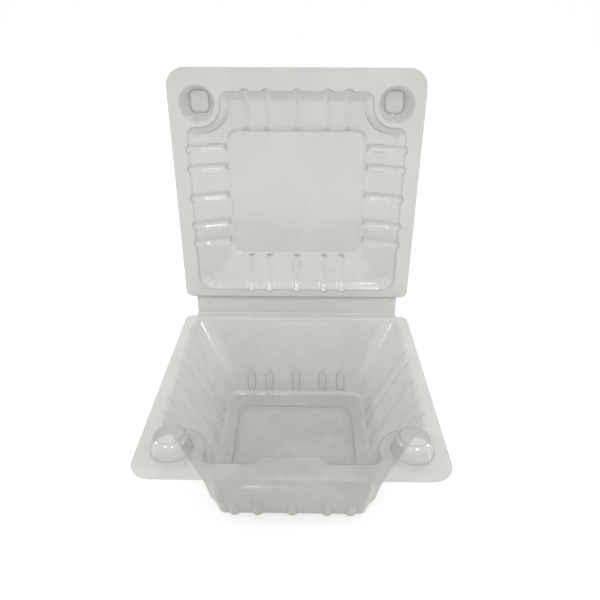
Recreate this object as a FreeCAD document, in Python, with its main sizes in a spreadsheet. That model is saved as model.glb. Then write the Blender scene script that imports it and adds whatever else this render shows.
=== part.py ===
import FreeCAD, Part
import math
import os
import Sketcher

# Clear plastic clamshell pack with a hinged lid, standing open.
# World frame: X across the pack, Y from front to back, Z up. The origin is
# under the middle of the open pack, at the level of its foot.
# The tray is drawn with the top of its flange at z = 0 and its back edge at y = 0.
# The lid is drawn closed in its own frame, with the hinge line on its X axis,
# and then swung up to the angle at which the pack stands.
# Distances named "front" or "back" are measured forwards from that back edge
# in the tray, and from the hinge line in the lid.

SIZES = {
    # sheet and flanges
    "gauge": 0.45,
    "flange_width": 135.0,
    "flange_front": 137.0,
    "flange_corner": 10.0,
    "flange_back_corner": 4.0,
    # living hinge
    "tongue_width": 122.5,
    "tray_tongue": 5.5,
    "lid_tongue": 10.5,
    "hinge_gap": 0.3,
    "crease_radius": 1.1,
    "crease_rise": 0.5,
    "crease_setback": 0.8,
    # tub opening
    "mouth_half": 60.0,
    "mouth_back": 4.0,
    "mouth_front": 127.0,
    "mouth_corner": 8.0,
    # crease half way down the tub
    "waist_depth": 33.5,
    "waist_half": 43.5,
    "waist_back": 13.0,
    "waist_front": 118.0,
    "waist_corner": 9.0,
    # foot of the tub
    "tub_depth": 46.0,
    "foot_half": 40.5,
    "foot_back": 17.5,
    "foot_front": 113.3,
    "foot_corner": 6.0,
    # bays that pass round the corner studs
    "mouth_bay": 14.5,
    "waist_bay": 16.5,
    "foot_bay": 19.0,
    "bay_round": 4.0,
    # raised panel in the floor
    "floor_panel_rise": 1.8,
    "floor_panel_half": 33.0,
    "floor_panel_back": 31.0,
    "floor_panel_front": 100.0,
    "floor_panel_slope": 4.6,
    "floor_panel_corner": 6.5,
    # upright flutes of the tub and of the lid
    "flute_radius": 2.3,
    "flute_inset": 0.9,
    "flute_near": 16.5,
    "flute_far": 27.5,
    # corner studs
    "stud_half": 52.3,
    "stud_front": 118.8,
    "stud_base": 9.0,
    "stud_shoulder": 7.9,
    "stud_top": 6.4,
    "stud_shoulder_height": 6.4,
    "stud_height": 8.0,
    # finger recess pressed into the front wall under the flange
    "recess_half": 15.6,
    "recess_reach": 5.4,
    "recess_depth": 9.0,
    "recess_lean": 1.6,
    "recess_corner": 4.8,
    # clearance of the sockets that close over the studs
    "closing_gap": 0.3,
    # lid dome
    "dome_half": 58.5,
    "dome_back": 15.5,
    "dome_front": 130.5,
    "dome_corner": 8.0,
    "dome_bay": 12.2,
    "dome_bay_round": 4.5,
    "step_rise": 3.0,
    "step_run": 4.3,
    "step_bay_run": 3.3,
    "step_round": 3.5,
    "ring_rise": 3.5,
    "panel_half": 38.5,
    "panel_back": 36.3,
    "panel_front": 109.9,
    "panel_corner": 6.5,
    "panel_rise": 1.0,
    "panel_slope": 0.8,
    # ridges across the ring of the lid
    "ridge_radius": 2.3,
    "ridge_proud": 1.1,
    "ridge_stop": 1.0,
    # boss in the end of each socket
    "boss_width": 10.6,
    "boss_length": 12.0,
    "boss_rise": 1.0,
    "boss_corner": 3.0,
    # pose in which the pack stands open
    "lid_angle": 89.0,
}


class Size:
    """A length from the sheet, with its value and its expression."""

    def __init__(self, text, value):
        self.text = text
        self.value = value

    @staticmethod
    def of(other):
        if isinstance(other, Size):
            return other
        return Size(repr(float(other)), float(other))

    def _join(self, sign, other, value):
        return Size("(%s %s %s)" % (self.text, sign, other.text), value)

    def __add__(self, other):
        other = Size.of(other)
        return self._join("+", other, self.value + other.value)

    def __sub__(self, other):
        other = Size.of(other)
        return self._join("-", other, self.value - other.value)

    def __mul__(self, other):
        other = Size.of(other)
        return self._join("*", other, self.value * other.value)

    def __truediv__(self, other):
        other = Size.of(other)
        return self._join("/", other, self.value / other.value)

    def __neg__(self):
        return Size("(-%s)" % self.text, -self.value)


def make_sheet(doc):
    sheet = doc.addObject("Spreadsheet::Sheet", "Sizes")
    for row, (word, number) in enumerate(SIZES.items(), start=1):
        sheet.set("A%d" % row, word)
        sheet.set("B%d" % row, str(number))
        sheet.setAlias("B%d" % row, word)
    doc.recompute()
    return sheet


def size(word):
    return Size("Sizes.%s" % word, float(SIZES[word]))


def bind(thing, name, length):
    thing.setExpression(name, length.text)


ZERO = Size("0", 0.0)
ORIGIN = -1
START, END, CENTRE = 1, 2, 3


class Outline:
    """A closed sketch of lines and arcs, drawn level at one height."""

    def __init__(self, doc, name, height):
        self.sketch = doc.addObject("Sketcher::SketchObject", name)
        bind(self.sketch, "Placement.Base.z", height)
        self.path = []

    def line(self, ax, ay, bx, by, way):
        edge = Part.LineSegment(FreeCAD.Vector(ax, ay, 0), FreeCAD.Vector(bx, by, 0))
        index = self.sketch.addGeometry(edge)
        self.sketch.addConstraint(Sketcher.Constraint(way, index))
        self.path.append((index, START, END))
        return index

    def arc(self, cx, cy, radius, first, last, outward=True):
        while last <= first:
            last += 2 * math.pi
        circle = Part.Circle(FreeCAD.Vector(cx, cy, 0), FreeCAD.Vector(0, 0, 1), radius)
        index = self.sketch.addGeometry(Part.ArcOfCircle(circle, first, last))
        ends = (START, END) if outward else (END, START)
        self.path.append((index,) + ends)
        return index

    def close(self):
        for here, after in zip(self.path, self.path[1:] + self.path[:1]):
            self.sketch.addConstraint(
                Sketcher.Constraint("Tangent", here[0], here[2], after[0], after[1]))

    def keep(self, constraint, length):
        index = self.sketch.addConstraint(constraint)
        bind(self.sketch, "Constraints[%d]" % index, length)

    def radius(self, first, length, *others):
        self.keep(Sketcher.Constraint("Radius", first, length.value), length)
        for other in others:
            self.sketch.addConstraint(Sketcher.Constraint("Equal", first, other))

    def left(self, index, point, length):
        self.keep(Sketcher.Constraint("DistanceX", index, point, ORIGIN, START, length.value), length)

    def right(self, index, point, length):
        self.keep(Sketcher.Constraint("DistanceX", ORIGIN, START, index, point, length.value), length)

    def ahead(self, index, point, length):
        self.keep(Sketcher.Constraint("DistanceY", index, point, ORIGIN, START, length.value), length)


def rounded_outline(doc, name, height, half, back, front, corner, front_corner=None):
    """A rectangle with round corners, the same on both sides of the middle."""
    plan = Outline(doc, name, height)
    far = corner if front_corner is None else front_corner
    w, yb, yf = half.value, back.value, front.value
    rb, rf = corner.value, far.value
    quarter = math.pi / 2
    rear = plan.line(w - rb, -yb, -w + rb, -yb, "Horizontal")
    back_left = plan.arc(-w + rb, -yb - rb, rb, quarter, 2 * quarter)
    side_left = plan.line(-w, -yb - rb, -w, -yf + rf, "Vertical")
    front_left = plan.arc(-w + rf, -yf + rf, rf, 2 * quarter, 3 * quarter)
    nose = plan.line(-w + rf, -yf, w - rf, -yf, "Horizontal")
    front_right = plan.arc(w - rf, -yf + rf, rf, 3 * quarter, 4 * quarter)
    side_right = plan.line(w, -yf + rf, w, -yb - rb, "Vertical")
    back_right = plan.arc(w - rb, -yb - rb, rb, 0, quarter)
    plan.close()
    plan.radius(back_left, corner, back_right)
    plan.radius(front_left, far, front_right)
    plan.left(side_left, START, half)
    plan.right(side_right, START, half)
    plan.ahead(rear, START, back)
    plan.ahead(nose, START, front)
    return plan.sketch


def bayed_outline(doc, name, height, half, back, front, corner, bay, bay_round):
    """A rounded rectangle whose front corners give way round the studs."""
    plan = Outline(doc, name, height)
    stud_x, stud_y = size("stud_half"), bay[1]
    radius = bay[0]
    w, yb, yf = half.value, back.value, front.value
    rc, rv, rn = corner.value, bay_round.value, radius.value
    nx, ny = stud_x.value, stud_y.value
    side_cx = w - rv
    side_cy = -ny + math.sqrt((rn + rv) ** 2 - (side_cx - nx) ** 2)
    nose_cy = -yf + rv
    nose_cx = nx - math.sqrt((rn + rv) ** 2 - (nose_cy + ny) ** 2)
    quarter = math.pi / 2
    to_side = math.atan2(side_cy + ny, side_cx - nx)
    to_nose = math.atan2(nose_cy + ny, nose_cx - nx)
    rear = plan.line(w - rc, -yb, -w + rc, -yb, "Horizontal")
    back_left = plan.arc(-w + rc, -yb - rc, rc, quarter, 2 * quarter)
    side_left = plan.line(-w, -yb - rc, -w, side_cy, "Vertical")
    turn_a = plan.arc(-side_cx, side_cy, rv, 2 * quarter, 2 * math.pi - to_side)
    bay_left = plan.arc(-nx, -ny, rn, math.pi - to_nose, math.pi - to_side, outward=False)
    turn_b = plan.arc(-nose_cx, nose_cy, rv, -to_nose, 3 * quarter)
    nose = plan.line(-nose_cx, -yf, nose_cx, -yf, "Horizontal")
    turn_c = plan.arc(nose_cx, nose_cy, rv, 3 * quarter, to_nose + math.pi)
    bay_right = plan.arc(nx, -ny, rn, to_side, to_nose, outward=False)
    turn_d = plan.arc(side_cx, side_cy, rv, to_side - math.pi, 0)
    side_right = plan.line(w, side_cy, w, -yb - rc, "Vertical")
    back_right = plan.arc(w - rc, -yb - rc, rc, 0, quarter)
    plan.close()
    plan.radius(back_left, corner, back_right)
    plan.radius(turn_a, bay_round, turn_b, turn_c, turn_d)
    plan.radius(bay_left, radius, bay_right)
    plan.left(bay_left, CENTRE, stud_x)
    plan.right(bay_right, CENTRE, stud_x)
    plan.ahead(bay_left, CENTRE, stud_y)
    plan.ahead(bay_right, CENTRE, stud_y)
    plan.left(side_left, START, half)
    plan.right(side_right, START, half)
    plan.ahead(rear, START, back)
    plan.ahead(nose, START, front)
    return plan.sketch


def loft(doc, name, sections):
    body = doc.addObject("Part::Loft", name)
    body.Sections = sections
    body.Solid = True
    body.Ruled = True
    return body


def extrude(doc, name, sketch, dx, dy, dz):
    body = doc.addObject("Part::Extrusion", name)
    body.Base = sketch
    body.DirMode = "Custom"
    body.Dir = FreeCAD.Vector(dx.value, dy.value, dz.value)
    bind(body, "Dir.x", dx)
    bind(body, "Dir.y", dy)
    bind(body, "Dir.z", dz)
    body.Solid = True
    return body


def fuse(doc, name, shapes):
    body = doc.addObject("Part::MultiFuse", name)
    body.Shapes = shapes
    return body


def cut(doc, name, base, tool):
    body = doc.addObject("Part::Cut", name)
    body.Base = base
    body.Tool = tool
    return body


def mirrored(doc, name, source, normal, across=None):
    body = doc.addObject("Part::Mirroring", name)
    body.Source = source
    body.Normal = normal
    if across is not None:
        bind(body, "Base.y", -across)
    return body


def cone(doc, name, low, high, height, x, y, z):
    body = doc.addObject("Part::Cone", name)
    bind(body, "Radius1", low)
    bind(body, "Radius2", high)
    bind(body, "Height", height)
    bind(body, "Placement.Base.x", x)
    bind(body, "Placement.Base.y", y)
    bind(body, "Placement.Base.z", z)
    return body


def circles(doc, name, spots, radius):
    """Five circles of one radius; each spot is a pair of sketch distances."""
    sketch = doc.addObject("Sketcher::SketchObject", name)
    first = None
    for across, along in spots:
        centre = FreeCAD.Vector(across.value, along.value, 0)
        ring = sketch.addGeometry(Part.Circle(centre, FreeCAD.Vector(0, 0, 1), radius.value))
        if first is None:
            first = ring
            index = sketch.addConstraint(Sketcher.Constraint("Radius", ring, radius.value))
            bind(sketch, "Constraints[%d]" % index, radius)
        else:
            sketch.addConstraint(Sketcher.Constraint("Equal", first, ring))
        for way, length in (("DistanceX", across), ("DistanceY", along)):
            index = sketch.addConstraint(
                Sketcher.Constraint(way, ORIGIN, START, ring, CENTRE, length.value))
            bind(sketch, "Constraints[%d]" % index, length)
    return sketch


def spread(middle):
    """The places of the five flutes of a side about its middle."""
    near, far = size("flute_near"), size("flute_far")
    return [middle - far, middle - near, middle, middle + near, middle + far]


def flutes(doc, name, radius, top, low, top_half, low_half, top_back, low_back, centre):
    """Flutes down all four sides between two heights, as slanting rods."""
    inset = size("flute_inset")
    side = circles(doc, name + "SideRings",
                   [(top_half - inset, -place) for place in spread(centre)], radius)
    bind(side, "Placement.Base.z", top)
    side_rods = extrude(doc, name + "SideRods", side, low_half - top_half, ZERO, low - top)
    rear = circles(doc, name + "BackRings",
                   [(place, -(top_back + inset)) for place in spread(ZERO)], radius)
    bind(rear, "Placement.Base.z", top)
    rear_rods = extrude(doc, name + "BackRods", rear, ZERO, top_back - low_back, low - top)
    across = FreeCAD.Vector(1, 0, 0)
    along = FreeCAD.Vector(0, 1, 0)
    return [
        side_rods,
        mirrored(doc, name + "SideRodsLeft", side_rods, across),
        rear_rods,
        mirrored(doc, name + "FrontRods", rear_rods, along, centre),
    ]


def build_tray(doc):
    gauge = size("gauge")
    depth = size("tub_depth")
    waist = -size("waist_depth")
    stud = size("stud_front")
    middle = (size("mouth_back") + size("mouth_front")) / 2

    # flange with its tongue behind, which is half of the hinge band
    rim = rounded_outline(doc, "TrayRim", -gauge, size("flange_width") / 2, ZERO,
                          size("flange_front"), size("flange_back_corner"), size("flange_corner"))
    plate = extrude(doc, "TrayPlate", rim, ZERO, ZERO, gauge)
    tongue = doc.addObject("Part::Box", "TrayTongue")
    bind(tongue, "Length", size("tongue_width"))
    bind(tongue, "Width", size("tray_tongue") + size("flange_back_corner") - size("hinge_gap") / 2)
    bind(tongue, "Height", gauge)
    bind(tongue, "Placement.Base.x", -size("tongue_width") / 2)
    bind(tongue, "Placement.Base.y", -size("flange_back_corner"))
    bind(tongue, "Placement.Base.z", -gauge)

    forms = {}
    for skin, grow, floor in (("Outer", gauge, -depth), ("Inner", ZERO, gauge - depth)):
        levels = [
            bayed_outline(doc, "Mouth" + skin, ZERO, size("mouth_half") + grow,
                          size("mouth_back") - grow, size("mouth_front") + grow,
                          size("mouth_corner") + grow, (size("mouth_bay") - grow, stud),
                          size("bay_round") + grow),
            bayed_outline(doc, "Waist" + skin, waist, size("waist_half") + grow,
                          size("waist_back") - grow, size("waist_front") + grow,
                          size("waist_corner") + grow, (size("waist_bay") - grow, stud),
                          size("bay_round") + grow),
            bayed_outline(doc, "Foot" + skin, floor, size("foot_half") + grow,
                          size("foot_back") - grow, size("foot_front") + grow,
                          size("foot_corner") + grow, (size("foot_bay") - grow, stud),
                          size("bay_round") + grow),
        ]
        radius = size("flute_radius") + grow
        rods = flutes(doc, "Wall" + skin, radius, ZERO, waist,
                      size("mouth_half"), size("waist_half"),
                      size("mouth_back"), size("waist_back"), middle)
        rods += flutes(doc, "Skirt" + skin, radius, waist, floor,
                       size("waist_half"), size("foot_half"),
                       size("waist_back"), size("foot_back"), middle)
        parts = [loft(doc, "Wall" + skin, levels[:2]), loft(doc, "Skirt" + skin, levels[1:])]
        tub = fuse(doc, "Tub" + skin, parts + rods)
        # the floor rises inside its foot ring as a panel
        spare = gauge - grow
        slope = size("floor_panel_slope")
        low = rounded_outline(doc, "FloorPanelLow" + skin, floor, size("floor_panel_half") + spare,
                              size("floor_panel_back") - spare, size("floor_panel_front") + spare,
                              size("floor_panel_corner") + spare)
        high = rounded_outline(doc, "FloorPanelHigh" + skin, floor + size("floor_panel_rise"),
                               size("floor_panel_half") - slope + spare,
                               size("floor_panel_back") + slope - spare,
                               size("floor_panel_front") - slope + spare,
                               size("floor_panel_corner") - slope / 2 + spare)
        forms[skin] = cut(doc, "TubForm" + skin, tub,
                          loft(doc, "FloorPanel" + skin, [low, high]))

    # studs stand up out of the flange
    proud = {}
    for skin, thin in (("Outer", ZERO), ("Inner", gauge)):
        shapes = []
        for side, place in (("Left", -size("stud_half")), ("Right", size("stud_half"))):
            shapes.append(cone(doc, "Stud%s%s" % (side, skin), size("stud_base") - thin,
                               size("stud_shoulder") - thin, size("stud_shoulder_height"),
                               place, -stud, -thin))
            shapes.append(cone(doc, "StudTop%s%s" % (side, skin), size("stud_shoulder") - thin,
                               size("stud_top") - thin,
                               size("stud_height") - size("stud_shoulder_height"),
                               place, -stud, size("stud_shoulder_height") - thin))
        proud[skin] = shapes

    # the recess leaves a ledge of flange above it and another below it
    recess = {}
    lean = size("recess_lean")
    face = size("mouth_front") - size("recess_reach")
    for skin, thin in (("Outer", ZERO), ("Inner", gauge)):
        outlines = []
        for tag, height, back in (("High", -thin, ZERO),
                                  ("Low", thin - size("recess_depth"), lean)):
            outlines.append(rounded_outline(doc, "Recess%s%s" % (tag, skin), height,
                                            size("recess_half") - back - thin,
                                            face + back / 2 + thin,
                                            size("mouth_front") + size("recess_reach"),
                                            size("recess_corner") - thin))
        recess[skin] = loft(doc, "Recess" + skin, outlines)

    # crease under the flange where the hinge band starts
    bead = {}
    for skin, grow in (("Outer", gauge), ("Inner", ZERO)):
        rod = doc.addObject("Part::Cylinder", "TrayCrease" + skin)
        bind(rod, "Radius", size("crease_radius") + grow)
        bind(rod, "Height", size("tongue_width"))
        rod.Placement = FreeCAD.Placement(FreeCAD.Vector(0, 0, 0),
                                          FreeCAD.Rotation(FreeCAD.Vector(0, 1, 0), 90))
        bind(rod, "Placement.Base.x", -size("tongue_width") / 2)
        bind(rod, "Placement.Base.y", size("crease_setback"))
        bind(rod, "Placement.Base.z", size("crease_radius") - size("crease_rise"))
        bead[skin] = rod
    below = doc.addObject("Part::Box", "TrayBelow")
    bind(below, "Length", size("flange_width"))
    bind(below, "Width", size("crease_radius") * 6)
    bind(below, "Height", size("crease_radius") * 4)
    bind(below, "Placement.Base.x", -size("flange_width") / 2)
    bind(below, "Placement.Base.y", -size("crease_radius") * 3)
    bind(below, "Placement.Base.z", -size("crease_radius") * 4)
    trough = doc.addObject("Part::MultiCommon", "TrayTrough")
    trough.Shapes = [bead["Outer"], below]

    hollow = cut(doc, "TubHollow", forms["Inner"], recess["Outer"])
    skin = fuse(doc, "TraySkin", [plate, tongue, trough, forms["Outer"]] + proud["Outer"])
    voids = fuse(doc, "TrayVoids", [hollow, bead["Inner"], recess["Inner"]] + proud["Inner"])
    tray = cut(doc, "BaseTray", skin, voids)
    tray.Label = "base_tray"
    return tray


def build_lid(doc):
    gauge = size("gauge")
    low = size("hinge_gap") / 2
    reach = size("tray_tongue")
    stud = size("stud_front") + reach
    close = size("closing_gap")
    middle = (size("dome_back") + size("dome_front")) / 2

    rim = rounded_outline(doc, "LidRim", low, size("flange_width") / 2, size("lid_tongue"),
                          size("flange_front") + reach, size("flange_back_corner"),
                          size("flange_corner"))
    plate = extrude(doc, "LidPlate", rim, ZERO, ZERO, gauge)
    tongue = doc.addObject("Part::Box", "LidTongue")
    bind(tongue, "Length", size("tongue_width"))
    bind(tongue, "Width", size("lid_tongue") + size("flange_back_corner") - size("hinge_gap") / 2)
    bind(tongue, "Height", gauge)
    bind(tongue, "Placement.Base.x", -size("tongue_width") / 2)
    bind(tongue, "Placement.Base.y", -size("lid_tongue") - size("flange_back_corner"))
    bind(tongue, "Placement.Base.z", low)

    forms = {}
    for skin, grow in (("Outer", gauge), ("Inner", ZERO)):
        step = low + size("step_rise") + grow
        ring = step + size("ring_rise")
        top = ring + size("panel_rise")
        run = size("step_run")
        mouth = bayed_outline(doc, "DomeMouth" + skin, low, size("dome_half") + grow,
                              size("dome_back") - grow, size("dome_front") + grow,
                              size("dome_corner") + grow, (size("dome_bay") - grow, stud),
                              size("dome_bay_round") + grow)
        brow = bayed_outline(doc, "DomeBrow" + skin, step, size("dome_half") - run + grow,
                             size("dome_back") + run - grow, size("dome_front") - run + grow,
                             size("dome_corner") - 2 + grow,
                             (size("dome_bay") + size("step_bay_run") - grow, stud),
                             size("step_round") + grow)
        wall = loft(doc, "DomeWall" + skin, [mouth, brow])
        column = extrude(doc, "DomeColumn" + skin, brow, ZERO, ZERO, size("ring_rise") * 2)
        ring_low = rounded_outline(doc, "RingLow" + skin, step, size("dome_half") - run + grow,
                                   size("dome_back") + run - grow,
                                   size("dome_front") - run + grow,
                                   size("dome_corner") - 2 + grow)
        ring_high = rounded_outline(doc, "RingHigh" + skin, ring, size("panel_half") + grow,
                                    size("panel_back") - grow, size("panel_front") + grow,
                                    size("panel_corner") + grow)
        slope = loft(doc, "RingSlope" + skin, [ring_low, ring_high])
        shoulder = doc.addObject("Part::MultiCommon", "Shoulder" + skin)
        shoulder.Shapes = [slope, column]
        lean = size("panel_slope")
        panel_high = rounded_outline(doc, "PanelHigh" + skin, top, size("panel_half") - lean + grow,
                                     size("panel_back") + lean - grow,
                                     size("panel_front") - lean + grow,
                                     size("panel_corner") - lean + grow)
        panel = loft(doc, "Panel" + skin, [ring_high, panel_high])

        radius = size("flute_radius") + grow
        rods = flutes(doc, "Dome" + skin, radius, low, step, size("dome_half"),
                      size("dome_half") - run, size("dome_back"), size("dome_back") + run, middle)

        # ridges run across the ring from each flute to the panel
        reel = size("ridge_radius") + grow
        sunk = size("ridge_radius") - size("ridge_proud")
        side_start = size("dome_half") - run + grow
        side_go = size("panel_half") + size("ridge_stop") - side_start
        rings = circles(doc, "RidgeSideRings" + skin,
                        [(-place, step - grow - sunk) for place in spread(middle)], reel)
        rings.Placement = FreeCAD.Placement(FreeCAD.Vector(0, 0, 0),
                                            FreeCAD.Rotation(FreeCAD.Vector(1, 1, 1), 120))
        bind(rings, "Placement.Base.x", side_start)
        side_bars = extrude(doc, "RidgeSide" + skin, rings, side_go, ZERO, size("ring_rise"))
        back_start = size("dome_back") + run - grow
        back_go = back_start - size("panel_back") + size("ridge_stop")
        rings = circles(doc, "RidgeBackRings" + skin,
                        [(place, step - grow - sunk) for place in spread(ZERO)], reel)
        rings.Placement = FreeCAD.Placement(FreeCAD.Vector(0, 0, 0),
                                            FreeCAD.Rotation(FreeCAD.Vector(1, 0, 0), 90))
        bind(rings, "Placement.Base.y", -back_start)
        back_bars = extrude(doc, "RidgeBack" + skin, rings, ZERO, back_go, size("ring_rise"))
        bars = [
            side_bars,
            mirrored(doc, "RidgeLeft" + skin, side_bars, FreeCAD.Vector(1, 0, 0)),
            back_bars,
            mirrored(doc, "RidgeFront" + skin, back_bars, FreeCAD.Vector(0, 1, 0), middle),
        ]

        # sockets that close over the studs, each with a squared boss in its end
        sockets = []
        wide = close + grow
        for side, place in (("Left", -size("stud_half")), ("Right", size("stud_half"))):
            shoulder_high = size("stud_shoulder_height") + close + grow
            sockets.append(cone(doc, "Socket%s%s" % (side, skin), size("stud_base") + wide,
                                size("stud_shoulder") + wide, shoulder_high, place, -stud, low))
            sockets.append(cone(doc, "SocketTop%s%s" % (side, skin), size("stud_shoulder") + wide,
                                size("stud_top") + wide,
                                size("stud_height") - size("stud_shoulder_height"),
                                place, -stud, low + shoulder_high))
            boss = rounded_outline(doc, "Boss%s%s" % (side, skin), low + shoulder_high,
                                   size("boss_width") / 2 + grow, -size("boss_length") / 2 - grow,
                                   size("boss_length") / 2 + grow, size("boss_corner") + grow)
            bind(boss, "Placement.Base.x", place)
            bind(boss, "Placement.Base.y", -stud)
            sockets.append(extrude(doc, "BossPin%s%s" % (side, skin), boss, ZERO, ZERO,
                                   size("stud_height") - size("stud_shoulder_height")
                                   + size("boss_rise")))

        forms[skin] = [wall, shoulder, panel] + rods + bars + sockets

    # crease where the hinge band meets the flange
    bead = {}
    for skin, grow in (("Outer", gauge), ("Inner", ZERO)):
        rod = doc.addObject("Part::Cylinder", "LidCrease" + skin)
        bind(rod, "Radius", size("crease_radius") + grow)
        bind(rod, "Height", size("tongue_width"))
        rod.Placement = FreeCAD.Placement(FreeCAD.Vector(0, 0, 0),
                                          FreeCAD.Rotation(FreeCAD.Vector(0, 1, 0), 90))
        bind(rod, "Placement.Base.x", -size("tongue_width") / 2)
        bind(rod, "Placement.Base.y", -size("lid_tongue") + size("crease_setback"))
        bind(rod, "Placement.Base.z", low + size("crease_rise") - size("crease_radius"))
        bead[skin] = rod
    above = doc.addObject("Part::Box", "LidAbove")
    bind(above, "Length", size("flange_width"))
    bind(above, "Width", size("flange_front") + reach)
    bind(above, "Height", size("tub_depth"))
    bind(above, "Placement.Base.x", -size("flange_width") / 2)
    bind(above, "Placement.Base.y", -size("flange_front") - reach)
    bind(above, "Placement.Base.z", low)

    whole = fuse(doc, "LidWhole", [plate, tongue, bead["Outer"]] + forms["Outer"])
    skin = doc.addObject("Part::MultiCommon", "LidSkin")
    skin.Shapes = [whole, above]
    voids = fuse(doc, "LidVoids", [bead["Inner"]] + forms["Inner"])
    lid = cut(doc, "Lid", skin, voids)
    lid.Label = "lid"
    swing = FreeCAD.Rotation(FreeCAD.Vector(-1, 0, 0), SIZES["lid_angle"])
    lid.Placement = FreeCAD.Placement(FreeCAD.Vector(0, reach.value, low.value), swing)
    return lid


def check(thing):
    states = [state for state in thing.State if state in ("Invalid", "Error")]
    if states or thing.Shape.isNull() or not thing.Shape.isValid():
        raise RuntimeError("%s is not sound: %s" % (thing.Name, states))


def settle(nodes):
    """Stand the pack on its foot with the middle of its bounds over the origin."""
    bounds = FreeCAD.BoundBox()
    for node in nodes:
        bounds.add(node.Shape.optimalBoundingBox(False))
    shift = FreeCAD.Vector(-bounds.Center.x, -bounds.Center.y, -bounds.ZMin)
    for node in nodes:
        node.Placement.Base = node.Placement.Base + shift


def main():
    doc = FreeCAD.newDocument("ClamshellPack")
    make_sheet(doc)
    nodes = [build_tray(doc), build_lid(doc)]
    doc.recompute()
    for thing in doc.Objects:
        if thing.isDerivedFrom("Part::Feature"):
            check(thing)
        elif "Invalid" in thing.State or "Error" in thing.State:
            raise RuntimeError("%s is not sound" % thing.Name)
    settle(nodes)
    os.makedirs("parts", exist_ok=True)
    for node in nodes:
        if len(node.Shape.Solids) != 1:
            raise RuntimeError("%s has %d solids" % (node.Label, len(node.Shape.Solids)))
        node.Shape.exportStep(os.path.join("parts", node.Label + ".step"))


main()
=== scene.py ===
"""Clear clamshell pack: a formed tray and its hinged lid, dressed for rendering."""

from __future__ import annotations

import logging
import math
from collections.abc import Callable
from dataclasses import dataclass, field
from enum import Enum

import bmesh
import bpy
import numpy as np
from mathutils import Matrix, Vector
from mathutils.geometry import delaunay_2d_cdt

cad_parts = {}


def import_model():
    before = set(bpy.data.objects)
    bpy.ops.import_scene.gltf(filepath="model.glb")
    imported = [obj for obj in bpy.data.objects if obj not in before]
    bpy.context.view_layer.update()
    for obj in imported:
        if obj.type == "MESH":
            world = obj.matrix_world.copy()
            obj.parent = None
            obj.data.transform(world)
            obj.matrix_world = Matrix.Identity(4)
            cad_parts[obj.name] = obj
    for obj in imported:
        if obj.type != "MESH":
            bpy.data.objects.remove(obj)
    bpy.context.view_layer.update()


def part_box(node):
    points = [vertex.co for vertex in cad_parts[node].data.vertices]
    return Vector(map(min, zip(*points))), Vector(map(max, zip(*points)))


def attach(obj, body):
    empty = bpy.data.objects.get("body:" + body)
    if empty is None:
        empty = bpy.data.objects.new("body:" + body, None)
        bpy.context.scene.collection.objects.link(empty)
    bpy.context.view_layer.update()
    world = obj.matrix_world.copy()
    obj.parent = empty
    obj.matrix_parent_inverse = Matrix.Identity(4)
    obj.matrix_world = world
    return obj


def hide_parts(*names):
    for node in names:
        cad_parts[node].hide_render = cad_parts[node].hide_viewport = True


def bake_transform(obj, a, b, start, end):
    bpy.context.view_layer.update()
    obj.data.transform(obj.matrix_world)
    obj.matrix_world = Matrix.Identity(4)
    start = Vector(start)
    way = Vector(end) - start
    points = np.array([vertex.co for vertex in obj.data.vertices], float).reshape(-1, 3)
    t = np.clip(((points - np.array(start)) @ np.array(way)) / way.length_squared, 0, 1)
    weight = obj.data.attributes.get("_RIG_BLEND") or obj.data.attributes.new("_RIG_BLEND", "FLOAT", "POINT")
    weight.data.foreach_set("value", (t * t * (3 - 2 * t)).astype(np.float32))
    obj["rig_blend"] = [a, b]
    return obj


LOG = logging.getLogger("clamshell")
MM = 0.001
ROUND_POINTS = 96
STRIP_POINTS = 124
WELD = 0.004
FILL_EPSILON = 1e-7
RING_OVERLAP = 6
RING_EASE = 0.7
LONG_EDGE = 3.0
SHORT_EDGE = 0.15


class Body(Enum):
    """The two bodies of the pack, named as in the CAD."""

    TRAY = "base_tray"
    LID = "lid"


class Side(Enum):
    """The two sides of the pack, as the sign of X."""

    LEFT = -1.0
    RIGHT = 1.0


class Mark(Enum):
    """What is written on the sheet's points for the finish to read."""

    # Bend rate, which the finish turns into painted shade along the folds.
    FOLD = "fold"
    RIM = "rim"


# ---- outlines


@dataclass(frozen=True)
class Stitch:
    """How many points each run of an outline gets, on one side of the middle."""

    rear: int = 112
    corner: int = 16
    side: int = 190
    turn: int = 9
    bay: int = 40
    nose: int = 84

    @property
    def front_corner(self) -> int:
        """Points of a front corner, with or without a bay."""
        return 2 * self.turn + self.bay

    @property
    def side_start(self) -> int:
        """Index of the first point of the side."""
        return self.rear + self.corner

    @property
    def nose_start(self) -> int:
        """Index of the first point of the front."""
        return self.side_start + self.side + self.front_corner


STITCH = Stitch()


def run(ax: float, ay: float, bx: float, by: float, count: int) -> np.ndarray:
    """Points along a line, without its last one.

    Args:
        ax: X of the start.
        ay: Y of the start.
        bx: X of the end.
        by: Y of the end.
        count: How many points.

    Returns:
        The points, one row each.
    """
    share = np.linspace(0.0, 1.0, count, endpoint=False)[:, None]
    return np.array([[ax, ay]]) * (1 - share) + np.array([[bx, by]]) * share


def bend(cx: float, cy: float, radius: float, first: float, last: float, count: int) -> np.ndarray:
    """Points along an arc, without its last one.

    Args:
        cx: X of the centre.
        cy: Y of the centre.
        radius: Radius of the arc.
        first: Angle of the start, in radians.
        last: Angle of the end, in radians.
        count: How many points.

    Returns:
        The points, one row each.
    """
    angle = np.linspace(first, last, count, endpoint=False)
    return np.stack([cx + radius * np.cos(angle), cy + radius * np.sin(angle)], axis=1)


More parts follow.
